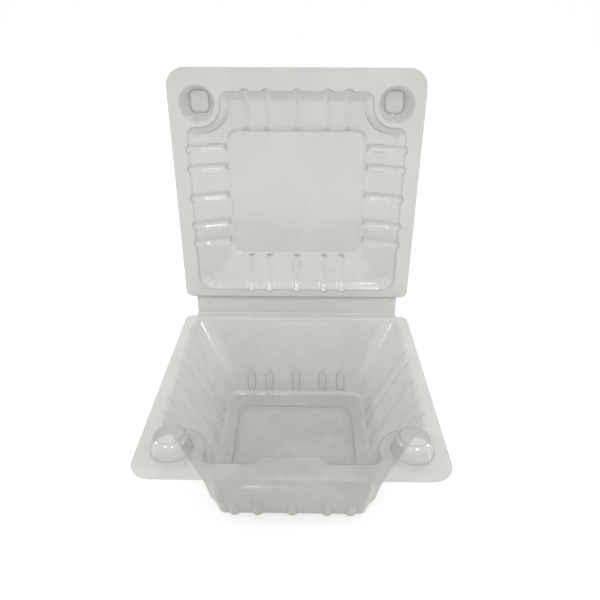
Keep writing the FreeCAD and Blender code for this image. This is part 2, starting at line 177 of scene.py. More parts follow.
@dataclass(frozen=True)
class Outline:
    """A rounded rectangle whose front corners may give way round the studs."""

    half: float
    back: float
    front: float
    corner: float
    bay: float = 0.0
    bay_round: float = 4.0
    stud_x: float = 52.3
    stud_y: float = 118.8
    front_corner: float | None = None

    def wider(self, by: float, bay_by: float | None = None) -> Outline:
        """The outline moved outwards by a distance.

        Args:
            by: The distance; inwards where it is negative.
            bay_by: The distance at the bays, where it differs.

        Returns:
            The moved outline.
        """
        far = None if self.front_corner is None else self.front_corner + by
        bay = self.bay - (by if bay_by is None else bay_by)
        return Outline(self.half + by, self.back - by, self.front + by, self.corner + by,
                       bay if self.bay else 0.0, self.bay_round + by,
                       self.stud_x, self.stud_y, far)

    @property
    def front_radius(self) -> float:
        """Radius of a front corner without a bay."""
        return self.corner if self.front_corner is None else self.front_corner

    def ends(self) -> tuple[float, float]:
        """Y where the right side ends and X where the right of the front starts."""
        if not self.bay:
            return self.front_radius - self.front, self.half - self.front_radius
        reach = self.bay + self.bay_round
        aside = self.half - self.bay_round - self.stud_x
        ahead = self.bay_round - self.front + self.stud_y
        return (math.sqrt(reach ** 2 - aside ** 2) - self.stud_y,
                self.stud_x - math.sqrt(reach ** 2 - ahead ** 2))

    def front_turn(self) -> np.ndarray:
        """Points round the right front corner, from the side to the front."""
        if not self.bay:
            radius = self.front_radius
            return bend(self.half - radius, radius - self.front, radius, 0.0, -math.pi / 2,
                        STITCH.front_corner)
        rv, nx, ny = self.bay_round, self.stud_x, -self.stud_y
        side_x, nose_y = self.half - rv, rv - self.front
        side_y, nose_x = self.ends()
        to_side = math.atan2(side_y - ny, side_x - nx)
        to_nose = math.atan2(nose_y - ny, nose_x - nx) % (2 * math.pi)
        return np.concatenate([
            bend(side_x, side_y, rv, 0.0, to_side - math.pi, STITCH.turn),
            bend(nx, ny, self.bay, to_side, to_nose, STITCH.bay),
            bend(nose_x, nose_y, rv, to_nose - math.pi, -math.pi / 2, STITCH.turn),
        ])

    def right_half(self) -> np.ndarray:
        """Points from the middle of the back round the right side to the middle of the front."""
        w, yb, yf, rc = self.half, -self.back, -self.front, self.corner
        side_end, nose_start = self.ends()
        return np.concatenate([
            run(0.0, yb, w - rc, yb, STITCH.rear),
            bend(w - rc, yb - rc, rc, math.pi / 2, 0.0, STITCH.corner),
            run(w, yb - rc, w, side_end, STITCH.side),
            self.front_turn(),
            run(nose_start, yf, 0.0, yf, STITCH.nose),
            np.array([[0.0, yf]]),
        ])

    def inside(self, x: np.ndarray, y: np.ndarray) -> np.ndarray:
        """Depth inside the plain rounded rectangle, less than 0 outside it.

        Args:
            x: X of the points.
            y: Y of the points.

        Returns:
            The distances.
        """
        middle = -(self.back + self.front) / 2
        reach = (self.front - self.back) / 2
        r = self.corner
        dx = np.abs(x) - (self.half - r)
        dy = np.abs(y - middle) - (reach - r)
        out = np.hypot(np.maximum(dx, 0), np.maximum(dy, 0)) + np.minimum(np.maximum(dx, dy), 0)
        return r - out


def whole_ring(half: np.ndarray) -> np.ndarray:
    """A closed ring from the points of its right half.

    Args:
        half: Points of the right half, from the back to the front, along the second last axis.

    Returns:
        The ring, with the left half after the right one.
    """
    left = half[..., -2:0:-1, :].copy()
    left[..., 0] *= -1
    return np.concatenate([half, left], axis=-2)


def blurred(values: np.ndarray, axis: int, sigma: float) -> np.ndarray:
    """Values smoothed along one axis, carried on in a straight line past its ends.

    Args:
        values: The values.
        axis: The axis to smooth along.
        sigma: Width of the smoothing, in steps.

    Returns:
        The smoothed values.
    """
    reach = int(math.ceil(3 * sigma))
    weights = np.exp(-0.5 * (np.arange(-reach, reach + 1) / sigma) ** 2)
    weights /= weights.sum()
    moved = np.moveaxis(values, axis, 0)
    steps = np.arange(reach, 0, -1).reshape((-1,) + (1,) * (moved.ndim - 1))
    before = moved[0] - steps * (moved[1] - moved[0])
    after = moved[-1] + steps[::-1] * (moved[-1] - moved[-2])
    padded = np.concatenate([before, moved, after])
    total = sum(w * padded[i:i + len(moved)] for i, w in enumerate(weights))
    return np.moveaxis(total, 0, axis)


def in_ring(ring: np.ndarray, x: np.ndarray, y: np.ndarray) -> np.ndarray:
    """Whether points in plan lie inside a closed ring.

    Args:
        ring: The points of the ring, one row each.
        x: X of the points.
        y: Y of the points.

    Returns:
        True for each point inside.
    """
    ax, ay = ring[:, 0], ring[:, 1]
    bx, by = np.roll(ax, -1), np.roll(ay, -1)
    spans = (ay > y[:, None]) != (by > y[:, None])
    rise = np.where(by == ay, 1.0, by - ay)
    crossing = ax + (y[:, None] - ay) * (bx - ax) / rise
    return (spans & (x[:, None] < crossing)).sum(axis=1) % 2 == 1


def arch(along: np.ndarray, places: tuple[float, ...], radius: float) -> np.ndarray:
    """Height of round rods above their axes, and less than 0 between them.

    Args:
        along: Where the points are along the row of rods.
        places: Where the rods are.
        radius: Radius of the rods.

    Returns:
        The heights.
    """
    best = np.full(along.shape, -1.0)
    for place in places:
        room = radius ** 2 - (along - place) ** 2
        best = np.where(room > 0, np.maximum(best, np.sqrt(np.maximum(room, 0))), best)
    return best


# ---- meshes


@dataclass
class SheetMesh:
    """Points and faces of one formed sheet, in millimetres in its own frame."""

    points: list[np.ndarray] = field(default_factory=list)
    faces: list[list[int]] = field(default_factory=list)
    rims: list[np.ndarray] = field(default_factory=list)
    count: int = 0
    sharp: float = math.radians(60)
    # How strongly the painted fold shade shows at each point.
    weigh: Callable[[np.ndarray], np.ndarray] | None = None

    def _take(self, points: np.ndarray, rim: float) -> int:
        """Keep points and return the index of the first."""
        first = self.count
        self.points.append(points)
        self.rims.append(np.full(len(points), rim))
        self.count += len(points)
        return first

    def grid(self, rows: np.ndarray, closed: bool, rim: float = 0.0) -> None:
        """Add a grid of faces.

        Args:
            rows: The points, as rows by columns by three.
            closed: Whether the last column joins the first.
            rim: How far the points belong to the cut rim.
        """
        height, width = rows.shape[:2]
        first = self._take(rows.reshape(-1, 3), rim)
        index = first + np.arange(height * width).reshape(height, width)
        if closed:
            index = np.concatenate([index, index[:, :1]], axis=1)
        quads = np.stack([index[:-1, :-1], index[:-1, 1:], index[1:, 1:], index[1:, :-1]], axis=-1)
        self.faces.extend(quads.reshape(-1, 4).tolist())

    def flat(self, loops: list[np.ndarray], height: float, keep) -> None:
        """Fill a level region between loops with triangles.

        Args:
            loops: Closed loops of points in plan.
            height: Height of the region.
            keep: Function of X and Y that is true inside the region.
        """
        plan = np.concatenate(loops)
        edges, start = [], 0
        for loop in loops:
            index = np.arange(start, start + len(loop))
            edges.extend(zip(index.tolist(), np.roll(index, -1).tolist()))
            start += len(loop)
        made = delaunay_2d_cdt([Vector(p) for p in plan.tolist()], edges, [], 0, FILL_EPSILON,
                               False)
        corners = np.array([tuple(v) for v in made[0]])
        triangles = np.array(made[2])
        middle = corners[triangles].mean(axis=1)
        triangles = triangles[keep(middle[:, 0], middle[:, 1])]
        first = self._take(np.column_stack([corners, np.full(len(corners), height)]), 0.0)
        self.faces.extend((triangles + first).tolist())

    def hollow(self, ring: np.ndarray) -> np.ndarray:
        """Add a formed hollow with a level end.

        Args:
            ring: Its closed rings, as rows by points by three.

        Returns:
            The plan of its mouth.
        """
        self.grid(ring, closed=True)
        end = ring[-1]
        self.flat([end[:, :2]], end[0, 2], lambda x, y: in_ring(end[:, :2], x, y))
        return ring[0, :, :2]

    def round_form(self, x: float, y: float, radius: np.ndarray, level: np.ndarray) -> np.ndarray:
        """Add a round form.

        Args:
            x: X of its axis.
            y: Y of its axis.
            radius: Distances from the axis, as rows by one or by angles.
            level: Heights, in the same rows.

        Returns:
            The plan of its first circle.
        """
        angle = np.linspace(0, 2 * math.pi, ROUND_POINTS, endpoint=False)
        rows = np.empty((len(radius), ROUND_POINTS, 3))
        rows[..., 0] = x + radius * np.cos(angle)
        rows[..., 1] = y + radius * np.sin(angle)
        rows[..., 2] = level
        self.grid(rows, closed=True)
        return rows[0, :, :2]

    def build(self, name: str, to_row: Matrix) -> bpy.types.Object:
        """Make the object, welded and smooth, with its folds and rim marked.

        Args:
            name: Name of the object.
            to_row: Places the sheet's own frame in the pack's, in metres.

        Returns:
            The object.
        """
        mesh = bpy.data.meshes.new(name)
        mesh.from_pydata(np.concatenate(self.points).tolist(), [], self.faces)
        rim = mesh.attributes.new(Mark.RIM.value, "FLOAT", "POINT")
        rim.data.foreach_set("value", np.concatenate(self.rims).astype(np.float32))
        work = bmesh.new()
        work.from_mesh(mesh)
        layer = work.verts.layers.float[Mark.RIM.value]
        inner = [v for v in work.verts if v[layer] < 0.5]
        bmesh.ops.remove_doubles(work, verts=inner, dist=WELD)
        loose = [v for v in work.verts if not v.link_faces]
        bmesh.ops.delete(work, geom=loose, context="VERTS")
        bmesh.ops.recalc_face_normals(work, faces=work.faces)
        for face in work.faces:
            face.smooth = True
        for edge in work.edges:
            edge.smooth = edge.is_boundary or edge.calc_face_angle(0.0) < self.sharp
        work.to_mesh(mesh)
        work.free()
        mark_folds(mesh, self.weigh)
        mesh.transform(to_row)
        made = bpy.data.objects.new(name, mesh)
        bpy.context.scene.collection.objects.link(made)
        LOG.info("%s: %d points, %d faces", name, len(mesh.vertices), len(mesh.polygons))
        return made


def mark_folds(mesh: bpy.types.Mesh,
               weigh: Callable[[np.ndarray], np.ndarray] | None) -> None:
    """Write on each point how tightly the sheet bends there, in radians per millimetre, which the finish
    turns into painted shade along the folds.

    Args:
        mesh: The mesh to mark.
        weigh: Gives how strongly the painted fold shade shows at each point.
    """
    count = len(mesh.vertices)
    place = np.empty(count * 3)
    mesh.vertices.foreach_get("co", place)
    place = place.reshape(-1, 3)
    facing = np.empty(count * 3, np.float32)
    mesh.vertex_normals.foreach_get("vector", facing)
    facing = facing.reshape(-1, 3)
    pairs = np.empty(len(mesh.edges) * 2, np.int32)
    mesh.edges.foreach_get("vertices", pairs)
    a, b = pairs.reshape(-1, 2).T
    length = np.linalg.norm(place[a] - place[b], axis=1)
    turn = np.arccos(np.clip((facing[a] * facing[b]).sum(axis=1), -1, 1))
    rate = np.where(length < LONG_EDGE, turn / np.maximum(length, SHORT_EDGE), 0.0)
    fold = np.zeros(count)
    np.maximum.at(fold, a, rate)
    np.maximum.at(fold, b, rate)
    if weigh is not None:
        fold *= weigh(place)
    mark = mesh.attributes.new(Mark.FOLD.value, "FLOAT", "POINT")
    mark.data.foreach_set("value", fold.astype(np.float32))


@dataclass(frozen=True)
class Station:
    """One ring of a formed hollow: an outline at a height."""

    outline: Outline
    height: float


@dataclass(frozen=True)
class Rows:
    """The rows of rings between stations, close together where the sheet folds."""

    stations: tuple[Station, ...]
    step: float = 0.2
    fold_reach: float = 1.5
    fold_step: int = 2
    plain_step: int = 11
    busy: tuple[tuple[float, float, int], ...] = ()

    def counts(self) -> list[int]:
        """How many fine rows lie between each station and the next."""
        lengths = [math.hypot(a.outline.half - b.outline.half, a.height - b.height)
                   for a, b in zip(self.stations, self.stations[1:])]
        return [max(3, round(length / self.step)) for length in lengths]

    def rings(self) -> np.ndarray:
        """Right halves of all fine rings, as rows by points by three."""
        halves = []
        for station in self.stations:
            plan = station.outline.right_half()
            halves.append(np.column_stack([plan, np.full(len(plan), station.height)]))
        rows = []
        for here, after, count in zip(halves, halves[1:], self.counts()):
            share = np.linspace(0.0, 1.0, count, endpoint=False)[:, None, None]
            rows.append(here * (1 - share) + after * share)
        rows.append(halves[-1][None])
        return np.concatenate(rows)

    def chosen(self) -> np.ndarray:
        """Indices of the rows that the mesh keeps."""
        folds = np.cumsum(self.counts())[:-1]
        last = sum(self.counts())
        keep, row = [0], 0
        while row < last:
            near = np.abs(folds - row).min() * self.step < self.fold_reach
            step = self.fold_step if near else self.plain_step
            for low, high, busy_step in self.busy:
                if low <= row * self.step <= high:
                    step = min(step, busy_step)
            if not near:
                ahead = folds[folds > row]
                if len(ahead):
                    start = int(ahead[0] - self.fold_reach / self.step)
                    step = min(step, max(1, start - row)) if start > row else step
            row = min(row + step, last)
            keep.append(row)
        return np.array(keep)


def eased_rings(rings: np.ndarray, rows: Rows, ease: float) -> np.ndarray:
    """Whole rings with their folds eased, at the rows that the mesh keeps.

    Args:
        rings: Right half rings, as rows by points by three.
        rows: The rows that they stand on.
        ease: Easing of the folds, in millimetres.

    Returns:
        The closed rings. The first is left as it is drawn.
    """
    ring = whole_ring(rings)
    lap = RING_OVERLAP
    around = blurred(np.concatenate([ring[:, -lap:], ring, ring[:, :lap]], axis=1), 1, RING_EASE)
    made = blurred(around[:, lap:-lap], 0, ease / rows.step)
    made[0] = ring[0]
    return made[rows.chosen()]


def turned(profile: list[tuple[float, float]], step: float, sigma: float) -> np.ndarray:
    """Fine points of a round form's section, with its corners eased.

    Args:
        profile: Corners of the section as radius and height, from the outside in.
        step: Distance between points.
        sigma: Easing of the corners, in millimetres.

    Returns:
        The points as radius and height, ending on the axis.
    """
    corners = np.array(profile)
    length = np.hypot(*np.diff(corners, axis=0).T)
    stops = np.concatenate([[0.0], np.cumsum(length)])
    along = np.linspace(0.0, stops[-1], int(stops[-1] / step) + 1)
    points = np.stack([np.interp(along, stops, corners[:, k]) for k in (0, 1)], axis=1)
    eased = blurred(points, 0, sigma / step)
    eased[0], eased[-1] = points[0], points[-1]
    return eased


# ---- the sheets


@dataclass(frozen=True)
class Flange:
    """The flat border of a half of the pack, with its part of the hinge band."""

    half: float = 67.5
    back: float = 0.0
    front: float = 137.0
    corner: float = 10.0
    back_corner: float = 4.0
    band_half: float = 61.25
    band_end: float = -5.35
    strip_front: float = 0.4
    height: float = 0.0
    gauge: float = 0.45
    crease: float = -0.8
    crease_radius: float = 1.1
    crease_depth: float = 0.5
    crease_reach: float = 1.35
    plain_step: float = 1.2
    down: bool = True

    @property
    def outline(self) -> Outline:
        """The border's own outline."""
        return Outline(self.half, self.back, self.front, self.back_corner,
                       front_corner=self.corner)

    def columns(self) -> np.ndarray:
        """X of the columns of the hinge strip."""
        return np.linspace(-self.band_half, self.band_half, STRIP_POINTS)

    def section(self) -> np.ndarray:
        """Distance in front and height along the hinge strip, from its free end forwards."""
        away = np.array([0.0, 0.12, 0.24, 0.36, 0.48, 0.6, 0.72, 0.84, 0.96, 1.1, 1.3])
        near = np.concatenate([self.crease - away[::-1], self.crease + away[1:]])
        plain = np.arange(self.band_end, self.strip_front, self.plain_step)
        plain = plain[np.abs(plain - self.crease) > self.crease_reach]
        front = np.unique(np.concatenate([[self.band_end, self.back, self.strip_front],
                                          plain, near]))
        front = front[(front >= self.band_end) & (front <= self.strip_front)]
        dip = np.sqrt(np.maximum(self.crease_radius ** 2 - (front - self.crease) ** 2, 0))
        dip = np.maximum(dip - (self.crease_radius - self.crease_depth), 0)
        sign = -1.0 if self.down else 1.0
        return np.stack([front, self.height + sign * dip], axis=1)

    def border(self) -> np.ndarray:
        """Points round the border from the right end of the hinge band to the left one."""
        ring = whole_ring(self.outline.right_half())
        band = (np.abs(ring[:, 0]) < self.band_half) & (ring[:, 1] > -self.back - 0.01)
        ends = np.array([[self.band_half, -self.back]])
        return np.concatenate([ends, ring[~band], ends * (-1, 1)])

    def add(self, sheet: SheetMesh, hollow: np.ndarray, rounds: list[np.ndarray]) -> None:
        """Add the flat border, the hinge strip and the cut rim.

        Args:
            sheet: The mesh to add to.
            hollow: Ring of points where the formed hollow starts.
            rounds: Circles where the studs or sockets start.
        """
        section, columns, border = self.section(), self.columns(), self.border()
        strip = np.empty((len(section), len(columns), 3))
        strip[..., 0] = columns[None]
        strip[..., 1] = -section[:, :1]
        strip[..., 2] = section[:, 1:]
        sheet.grid(strip, closed=False)

        ends = section[(section[:, 0] > self.back) & (section[:, 0] < self.strip_front), 0]
        left = np.stack([np.full(len(ends), -self.band_half), -ends], axis=1)
        seam = np.stack([columns, np.full(len(columns), -self.strip_front)], axis=1)
        right = np.stack([np.full(len(ends), self.band_half), -ends[::-1]], axis=1)
        loop = np.concatenate([border, left, seam, right])

        def keep(x: np.ndarray, y: np.ndarray) -> np.ndarray:
            """True on the flat of the border."""
            kept = in_ring(loop, x, y)
            for hole in [hollow] + rounds:
                kept &= ~in_ring(hole, x, y)
            return kept

        sheet.flat([loop, hollow] + rounds, self.height, keep)

        tab = section[section[:, 0] < self.back, 0]
        right_tab = np.stack([np.full(len(tab), self.band_half), -tab], axis=1)
        left_tab = np.stack([np.full(len(tab), -self.band_half), -tab[::-1]], axis=1)
        edge = np.concatenate([right_tab, border, left_tab])
        under = self.height + (-self.gauge if self.down else self.gauge)
        rim = np.stack([
            np.column_stack([edge, np.full(len(edge), self.height)]),
            np.column_stack([edge, np.full(len(edge), under)]),
        ])
        sheet.grid(rim, closed=False, rim=1.0)


@dataclass(frozen=True)
class Flutes:
    """The upright flutes in the walls of a hollow."""

    radius: float = 2.3
    inset: float = 0.9
    near: float = 16.5
    far: float = 27.5
    fade: float = 3.0

    def places(self, middle: float) -> tuple[float, ...]:
        """The places of the five flutes of a side, spread about its middle."""
        return (middle - self.far, middle - self.near, middle, middle + self.near,
                middle + self.far)

    def push(self, rings: np.ndarray, middle: float, lip: int,
             sink: np.ndarray | float = 0.0) -> np.ndarray:
        """Move the walls of right half rings out where the flutes are.

        Args:
            rings: Right half rings, as rows by points by three.
            middle: Y about which the side flutes are spread, as a distance in front.
            lip: How many rows the flutes grow over before they have their full depth.
            sink: How far the flutes at the back and front sink into the wall, one for each row.

        Returns:
            The moved rings.
        """
        made = rings.copy()
        rear = slice(0, STITCH.rear)
        side = slice(STITCH.side_start, STITCH.side_start + STITCH.side)
        nose = slice(STITCH.nose_start, None)
        across, along = self.places(0.0), self.places(-middle)

        sunk = np.reshape(sink, (-1, 1))
        grown = np.minimum(np.arange(len(rings)) / lip, 1.0)[:, None]

        def bulge(place: np.ndarray, places: tuple[float, ...], less: np.ndarray | float
                  ) -> np.ndarray:
            """How far the flutes stand out of the wall."""
            return grown * np.maximum(arch(place, places, self.radius) - self.inset - less, 0.0)

        made[:, rear, 1] += bulge(rings[:, rear, 0], across, sunk)
        made[:, side, 0] += bulge(rings[:, side, 1], along, 0.0)
        made[:, nose, 1] -= bulge(rings[:, nose, 0], across, sunk)
        return made


@dataclass
class Half:
    """What the tray and the lid share."""

    flange: Flange = field(default_factory=Flange)
    flutes: Flutes = field(default_factory=Flutes)
    lip: float = 3.0
    ease: float = 0.5
    stud_x: float = 52.3
    stud_y: float = 118.8

    def rounds(self, sheet: SheetMesh) -> list[np.ndarray]:
        """Add the stud or socket of each side and return the circles where they start."""
        radius, level = self.round_rows()
        return [sheet.round_form(side.value * self.stud_x, -self.stud_y, radius, level)
                for side in Side]

    def build(self, name: str, place: Matrix) -> bpy.types.Object:
        """Make the sheet of this half.

        Args:
            name: Name of the object.
            place: Places the half's own frame in the pack's, in metres.

        Returns:
            The object.
        """
        sheet = SheetMesh(weigh=self.fold_shade_weight)
        rows = self.rows()
        mouth = sheet.hollow(eased_rings(self.formed(rows), rows, self.ease))
        self.flange.add(sheet, mouth, self.rounds(sheet))
        return sheet.build(name, place)


@dataclass
class Tray(Half):
    """The base: flange, two-tier fluted tub, corner studs and finger recess."""

    mouth: Outline = Outline(60.0, 4.0, 127.0, 8.0, 14.5, 4.0)
    waist: Outline = Outline(43.5, 13.0, 118.0, 9.0, 16.5, 4.0)
    foot: Outline = Outline(40.5, 17.5, 113.3, 6.0, 19.0, 4.0)
    waist_depth: float = 33.5
    depth: float = 45.55
    panel: Outline = Outline(33.45, 30.55, 100.45, 6.95)
    panel_slope: float = 4.6
    panel_rise: float = 1.8
    bay_lip: float = 1.8
    stud_rim: float = 10.4
    stud_profile: tuple[tuple[float, float], ...] = ((9.0, 0.0), (7.9, 6.4), (6.4, 8.0), (0.0, 8.0))
    stud_step: float = 0.15
    stud_ease: float = 0.34
    recess_half: float = 15.6
    recess_face: float = 121.6
    recess_lean: float = 1.6
    recess_corner: float = 4.8
    recess_depth: float = 9.0
    recess_blend: float = 0.7
    recess_early: float = 0.3
    # Where and how strongly the painted fold shade shows on the tray.
    floor_band: float = 2.2
    panel_band: float = 1.3
    mouth_band: tuple[float, float] = (-1.2, 0.2)
    mouth_share: float = 0.62
    foot_share: float = 0.5
    panel_share: float = 3.0

    def rows(self) -> Rows:
        """The stations of the tub from the flange to the floor panel."""
        high = Outline(self.panel.half - self.panel_slope, self.panel.back + self.panel_slope,
                       self.panel.front - self.panel_slope,
                       self.panel.corner - self.panel_slope / 2)
        top = self.panel_rise - self.depth
        return Rows((
            Station(self.mouth.wider(self.lip, self.bay_lip), 0.0),
            Station(self.mouth, 0.0),
            Station(self.waist, -self.waist_depth),
            Station(self.foot, -self.depth),
            Station(self.panel, -self.depth),
            Station(high, top),
            Station(high.wider(-2.0), top),
        ), busy=((2.8, 15.4, 3),))

    def dented(self, rings: np.ndarray) -> np.ndarray:
        """Press the finger recess into the front wall of right half rings."""
        made = rings.copy()
        nose = slice(STITCH.nose_start, None)
        x, y, z = (rings[:, nose, k] for k in range(3))
        deep = np.clip(-z / self.recess_depth, 0.0, 1.0)
        half = self.recess_half - self.recess_lean * deep
        face = -(self.recess_face + self.recess_lean / 2 * deep)
        past = np.clip(x - (half - self.recess_corner), 0.0, self.recess_corner)
        pocket = face - self.recess_corner + np.sqrt(self.recess_corner ** 2 - past ** 2)
        pocket = np.where(x < half, pocket, -1e3)
        start = np.clip(-z / self.recess_blend, 0.0, 1.0)
        stop = np.clip((-z - self.recess_depth + self.recess_early) / self.recess_blend, 0.0, 1.0)
        weight = start * start * (3 - 2 * start) * (1 - stop * stop * (3 - 2 * stop))
        weight = np.where(z > -self.recess_depth - 1.0, weight, 0.0)
        made[:, nose, 1] += weight * np.maximum(pocket - y, 0.0)
        return made

    def fold_shade_weight(self, place: np.ndarray) -> np.ndarray:
        """How strongly the painted fold shade shows at points: less at the mouth and foot, more at the
        panel.
        """
        x, y, z = place.T
        floor = z < self.floor_band - self.depth
        panel = floor & (np.abs(self.panel.inside(x, y)) < self.panel_band)
        mouth = (z > self.mouth_band[0]) & (z < self.mouth_band[1])
        share = np.where(mouth, self.mouth_share, np.where(floor, self.foot_share, 1.0))
        return np.where(panel, self.panel_share, share)

    def round_rows(self) -> tuple[np.ndarray, np.ndarray]:
        """Radius and height of the rows of a stud."""
        profile = [(self.stud_rim, 0.0), *self.stud_profile]
        section = turned(profile, self.stud_step, self.stud_ease)[::2]
        section = np.concatenate([section, [[0.0, profile[-1][1]]]])
        return section[:, :1], section[:, 1:]

    def formed(self, rows: Rows) -> np.ndarray:
        """Right half rings of the tub, with its flutes and recess."""
        middle = (self.mouth.back + self.mouth.front) / 2
        rings = rows.rings()
        wall = slice(0, sum(rows.counts()[:3]) + 1)
        lean = (self.waist.back - self.mouth.back) / self.waist_depth
        above = np.maximum(rings[wall, 0, 2] + self.waist_depth, 0.0)
        sink = above * (self.flutes.inset / self.flutes.fade + lean)
        rings[wall] = self.dented(self.flutes.push(rings[wall], middle, rows.counts()[0], sink))
        return rings


@dataclass
class Lid(Half):
    """The lid: flange, shallow fluted dome with a flat panel, and two sockets."""

    flange: Flange = field(default_factory=lambda: Flange(
        back=10.5, front=142.5, band_end=0.15, strip_front=11.6, height=0.15,
        crease=9.7, down=False))
    mouth: Outline = Outline(58.5, 15.5, 130.5, 8.0, 12.2, 4.5, stud_y=124.3)
    brow: Outline = Outline(54.2, 19.8, 126.2, 6.0, 15.5, 3.5, stud_y=124.3)
    panel: Outline = Outline(38.5, 36.3, 109.9, 6.5)
    low: float = 0.15
    step_rise: float = 3.0
    brow_ledge: float = 0.6
    ring_rise: float = 3.5
    panel_rise: float = 1.0
    panel_lean: float = 0.8
    ridge_radius: float = 2.3
    ridge_proud: float = 1.1
    ridge_stop: float = 1.0
    bay_lip: float = 1.5
    stud_y: float = 124.3
    socket_rim: float = 10.1
    socket_profile: tuple[tuple[float, float], ...] = ((9.3, 0.0), (8.2, 6.7), (6.7, 8.3))
    boss_half: float = 5.3
    boss_reach: float = 6.0
    boss_corner: float = 3.0
    boss_rise: float = 1.0
    boss_lean: float = 0.25
    socket_step: float = 0.15
    socket_ease: float = 2.0
    angle: float = 89.0
    hinge: tuple[float, float] = (5.5, 0.15)
    # Where and how strongly the painted fold shade shows on the lid.
    quiet_half: float = 33.0
    quiet_front: tuple[float, float] = (110.6, 125.0)
    quiet_share: float = 0.45
    outline_band: tuple[float, float] = (0.02, 0.9)
    brow_band: tuple[float, float] = (2.2, 4.2)
    cap_band: tuple[float, float] = (-4.0, -0.7)
    bay_edge: float = 1.0
    outline_share: float = 1.8
    brow_share: float = 0.4
    cap_share: float = 0.5
    cone_share: float = 0.4
    boss_share: float = 1.3
    boss_edge: float = 7.0

    def rows(self) -> Rows:
        """The stations of the dome from the flange to the panel."""
        top = self.low + self.step_rise + self.ring_rise
        crown = self.panel.wider(-self.panel_lean)
        return Rows((
            Station(self.mouth.wider(self.lip, self.bay_lip), self.low),
            Station(self.mouth, self.low),
            Station(self.brow, self.low + self.step_rise),
            Station(self.brow.wider(-self.brow_ledge), self.low + self.step_rise),
            Station(self.panel, top),
            Station(crown, top + self.panel_rise),
            Station(crown.wider(-2.0), top + self.panel_rise),
        ), plain_step=6)

    def shoulder(self, x: np.ndarray, y: np.ndarray) -> np.ndarray:
        """Height of the ring between the brow and the panel, with its ridges."""
        low = Outline(self.brow.half, self.brow.back, self.brow.front, self.brow.corner)
        outer = np.maximum(low.inside(x, y), 0.0)
        inner = np.maximum(-self.panel.inside(x, y), 0.0)
        share = outer / np.maximum(outer + inner, 1e-6)
        base = self.low + self.step_rise
        height = base + self.ring_rise * share
        axis = base - (self.ridge_radius - self.ridge_proud)
        middle = (self.mouth.back + self.mouth.front) / 2
        for distance, along, places, start, stop in (
            (np.abs(x), y, self.flutes.places(-middle),
             self.brow.half, self.panel.half + self.ridge_stop),
            (np.abs(y + middle), x, self.flutes.places(0.0),
             middle - self.brow.back, middle - self.panel.back + self.ridge_stop),
        ):
            climb = (start - distance) / (start - stop)
            rod = arch(along, places, self.ridge_radius)
            bar = axis + self.ring_rise * climb + rod
            on_bar = (rod > 0) & (climb >= 0) & (climb <= 1)
            height = np.where(on_bar, np.maximum(height, bar), height)
        return height

    def fold_shade_weight(self, place: np.ndarray) -> np.ndarray:
        """How strongly the painted fold shade shows at points: most where the dome starts."""
        near, far = self.quiet_front
        x, front, rise = np.abs(place[:, 0]), -place[:, 1], place[:, 2] - self.low
        from_socket = np.hypot(x - self.stud_x, front - self.stud_y)
        depth = self.panel.inside(place[:, 0], place[:, 1])
        share = np.ones_like(x)
        for value, (low, high), kept in ((rise, self.outline_band, self.outline_share),
                                         (rise, self.brow_band, self.brow_share),
                                         (depth, self.cap_band, self.cap_share)):
            share = np.where((value > low) & (value < high), kept, share)
        quiet = (x < self.quiet_half) & (front > near) & (front < far)
        share = np.where(quiet, self.quiet_share, share)
        share = np.where(from_socket < self.mouth.bay - self.bay_edge, self.cone_share, share)
        return np.where(from_socket < self.boss_edge, self.boss_share, share)

    def boss_radius(self, angle: np.ndarray) -> np.ndarray:
        """Distance from a socket's axis to the edge of its squared boss."""
        boss = Outline(self.boss_half, -self.boss_reach, self.boss_reach, self.boss_corner)
        low, high = np.zeros_like(angle), np.full_like(angle, 12.0)
        for _ in range(24):
            half = (low + high) / 2
            inside = boss.inside(half * np.cos(angle), half * np.sin(angle)) > 0
            low, high = np.where(inside, half, low), np.where(inside, high, half)
        return low

    def round_rows(self) -> tuple[np.ndarray, np.ndarray]:
        """Radius and height of the rows of a socket."""
        angle = np.linspace(0, 2 * math.pi, ROUND_POINTS, endpoint=False)
        edge = self.boss_radius(angle)
        end = self.socket_profile[-1][1]
        profile = [(self.socket_rim, 0.0), *self.socket_profile]
        stations = [(np.full_like(angle, radius), height) for radius, height in profile]
        stations += [(edge, end), (edge - self.boss_lean, end + self.boss_rise),
                     (edge * 0.0, end + self.boss_rise)]
        dense = []
        for (here, low), (after, high) in zip(stations, stations[1:]):
            length = math.hypot((here - after).mean(), low - high)
            count = max(2, round(length / self.socket_step))
            share = np.linspace(0, 1, count, endpoint=False)[:, None]
            level = low * (1 - share) + high * share + np.zeros_like(angle)
            dense.append(np.stack([here * (1 - share) + after * share, level], axis=-1))
        dense = np.concatenate(dense + [np.stack([edge * 0, edge * 0 + end + self.boss_rise],
                                                 axis=-1)[None]])
        eased = blurred(dense, 0, self.socket_ease)
        eased[0], eased[-1] = dense[0], dense[-1]
        eased = np.concatenate([eased[:-1:2], eased[-1:]])
        return eased[..., 0], self.low + eased[..., 1]

    def swing(self) -> Matrix:
        """Turns the closed lid's own frame to where it stands open."""
        back, up = self.hinge
        return (Matrix.Translation((0.0, back, up))
                @ Matrix.Rotation(-math.radians(self.angle), 4, "X"))

    def formed(self, rows: Rows) -> np.ndarray:
        """Right half rings of the dome, with its flutes and ridges."""
        counts = rows.counts()
        middle = (self.mouth.back + self.mouth.front) / 2
        rings = rows.rings()
        wall, first, last = sum(counts[:2]), sum(counts[:3]), sum(counts[:4])
        rings[:wall + 1] = self.flutes.push(rings[:wall + 1], middle, counts[0])
        slope = rings[first:last + 1]
        slope[..., 2] = self.shoulder(slope[..., 0], slope[..., 1])
        rise = rings[wall:first + 1]
        share = np.linspace(0, 1, len(rise))[:, None]
        rise[..., 2] = rise[:1, :, 2] * (1 - share) + rise[-1:, :, 2] * share
        return rings


